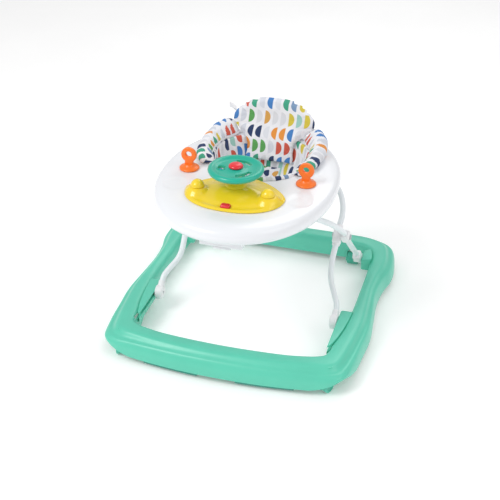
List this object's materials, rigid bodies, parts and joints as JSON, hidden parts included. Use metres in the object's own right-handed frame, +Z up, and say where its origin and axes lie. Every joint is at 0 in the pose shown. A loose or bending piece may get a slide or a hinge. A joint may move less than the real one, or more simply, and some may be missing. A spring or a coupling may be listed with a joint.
{
  "type": "baby walker",
  "caption": "Baby walker: moulded ring base on casters, folding scissor frame of bent tubes, oval tray with a steering-wheel toy and a padded fabric seat.",
  "frame": {"origin": "on the floor, under the middle of the walker's box", "axes": "+Y from front to back (the walker drives towards -Y), +Z up, +X to the right as seen from in front"},
  "size_m": [0.623, 0.6531, 0.492],
  "materials": {
    "green_shell": "satin moulded",
    "wheel_green": "satin moulded",
    "strip_rubber": "soft matt",
    "steel_pin": "turned",
    "tube_paint": "powder coat",
    "white_fitting": "satin moulded",
    "tray_white": "gloss",
    "seat_fabric": "printed woven polyester",
    "toy_yellow": "gloss",
    "wheel_teal": "gloss",
    "button_red": "gloss",
    "loop_orange": "satin moulded",
    "dark_part": "matt",
    "circuit": "solder mask"
  },
  "bodies": {
    "base": {"base_shell": "green_shell", "slide_track_left": "green_shell", "slide_track_right": "green_shell", "pivot_bracket_left": "green_shell", "pivot_bracket_right": "green_shell", "leg_pivot_pin_left": "steel_pin", "leg_pivot_pin_right": "steel_pin", "grip_strip_front_left": "strip_rubber", "grip_strip_front_right": "strip_rubber", "grip_strip_rear_left": "strip_rubber", "grip_strip_rear_right": "strip_rubber", "rear_axle_left": "steel_pin", "rear_axle_right": "steel_pin"},
    "rear_leg": {"rear_leg_frame": "tube_paint", "rear_leg_sleeve_left": "white_fitting", "rear_leg_sleeve_right": "white_fitting", "rear_leg_end_left": "white_fitting", "rear_leg_end_right": "white_fitting", "cross_pin_left": "steel_pin", "cross_pin_right": "steel_pin"},
    "front_leg": {"front_leg_frame": "tube_paint", "front_leg_sleeve_left": "white_fitting", "front_leg_sleeve_right": "white_fitting", "front_leg_foot_left": "white_fitting", "front_leg_foot_right": "white_fitting"},
    "tray": {"tray_shell": "tray_white", "tray_channel": "white_fitting", "seat_back": "seat_fabric", "seat_skirt": "seat_fabric", "seat_sling": "seat_fabric", "seat_clip_front": "white_fitting", "station_base": "toy_yellow", "steering_column": "toy_yellow", "circuit_board": "circuit", "speaker": "dark_part", "tray_clamp_left": "white_fitting", "tray_clamp_right": "white_fitting", "seat_wing_left": "seat_fabric", "seat_wing_right": "seat_fabric", "seat_clip_left": "white_fitting", "seat_clip_right": "white_fitting", "station_dome_left": "toy_yellow", "station_dome_right": "toy_yellow", "battery_left": "dark_part", "battery_right": "dark_part", "toy_loop_left": "loop_orange", "toy_loop_right": "loop_orange"},
    "steering_wheel": {"steering_wheel": "wheel_teal"},
    "horn_button": {"horn_button": "button_red"},
    "power_button": {"power_button": "button_red"},
    "latch_lever": {"latch_lever": "white_fitting"},
    "glide_left": {"glide_slider_left": "dark_part"},
    "caster_left": {"caster_body_left": "green_shell"},
    "caster_wheels_left": {"caster_wheels_left": "wheel_green"},
    "rear_wheel_left": {"rear_wheel_left": "wheel_green"},
    "glide_right": {"glide_slider_right": "dark_part"},
    "caster_right": {"caster_body_right": "green_shell"},
    "caster_wheels_right": {"caster_wheels_right": "wheel_green"},
    "rear_wheel_right": {"rear_wheel_right": "wheel_green"}
  },
  "joints": [
    {"name": "leg_fold", "type": "hinge", "parent": "base", "child": "rear_leg", "pos_m": [0, 0.205, 0.057], "axis": [1, 0, 0], "range_deg": [0, 34]},
    {"name": "front_leg_fold", "type": "hinge", "parent": "rear_leg", "child": "front_leg", "pos_m": [0, 0.0575, 0.204], "axis": [1, 0, 0], "range_deg": [-69, 1]},
    {"name": "tray_level", "type": "hinge", "parent": "front_leg", "child": "tray", "pos_m": [0, 0.205, 0.351], "axis": [1, 0, 0], "range_deg": [-1, 35]},
    {"name": "glide_left_level", "type": "hinge", "parent": "front_leg", "child": "glide_left", "pos_m": [-0.22, -0.09, 0.057], "axis": [1, 0, 0], "range_deg": [-1, 35]},
    {"name": "caster_left_swivel", "type": "hinge", "parent": "base", "child": "caster_left", "pos_m": [-0.25, -0.266, 0.048], "axis": [0, 0, 1], "continuous": true},
    {"name": "caster_left_roll", "type": "hinge", "parent": "caster_left", "child": "caster_wheels_left", "pos_m": [-0.24598, -0.27836, 0.018], "axis": [0.9511, 0.309, 0], "continuous": true},
    {"name": "rear_wheel_left_roll", "type": "hinge", "parent": "base", "child": "rear_wheel_left", "pos_m": [-0.194, 0.264, 0.017], "axis": [1, 0, 0], "continuous": true},
    {"name": "glide_right_level", "type": "hinge", "parent": "front_leg", "child": "glide_right", "pos_m": [0.22, -0.09, 0.057], "axis": [1, 0, 0], "range_deg": [-1, 35]},
    {"name": "caster_right_swivel", "type": "hinge", "parent": "base", "child": "caster_right", "pos_m": [0.25, -0.266, 0.048], "axis": [0, 0, 1], "continuous": true},
    {"name": "caster_right_roll", "type": "hinge", "parent": "caster_right", "child": "caster_wheels_right", "pos_m": [0.24598, -0.27836, 0.018], "axis": [0.9511, -0.309, 0], "continuous": true},
    {"name": "rear_wheel_right_roll", "type": "hinge", "parent": "base", "child": "rear_wheel_right", "pos_m": [0.194, 0.264, 0.017], "axis": [1, 0, 0], "continuous": true},
    {"name": "steering_turn", "type": "hinge", "parent": "tray", "child": "steering_wheel", "pos_m": [0, -0.155, 0.462], "axis": [0, 0, 1], "range_deg": [-90, 90]},
    {"name": "horn_press", "type": "slide", "parent": "steering_wheel", "child": "horn_button", "axis": [0, 0, -1], "range_m": [0, 0.001], "stiffness_N_per_m": 600},
    {"name": "power_press", "type": "slide", "parent": "tray", "child": "power_button", "axis": [0, 0, -1], "range_m": [0, 0.0015], "stiffness_N_per_m": 600},
    {"name": "latch_release", "type": "hinge", "parent": "tray", "child": "latch_lever", "pos_m": [0, -0.234, 0.334], "axis": [-1, 0, 0], "range_deg": [0, 15], "stiffness_Nm_per_rad": 0.3, "springref_deg": -17.19}
  ],
  "couplings": [
    {"joint": "front_leg_fold", "follows": "leg_fold", "ratio": -2},
    {"joint": "tray_level", "follows": "leg_fold", "ratio": 1},
    {"joint": "glide_left_level", "follows": "leg_fold", "ratio": 1},
    {"joint": "glide_right_level", "follows": "leg_fold", "ratio": 1}
  ]
}
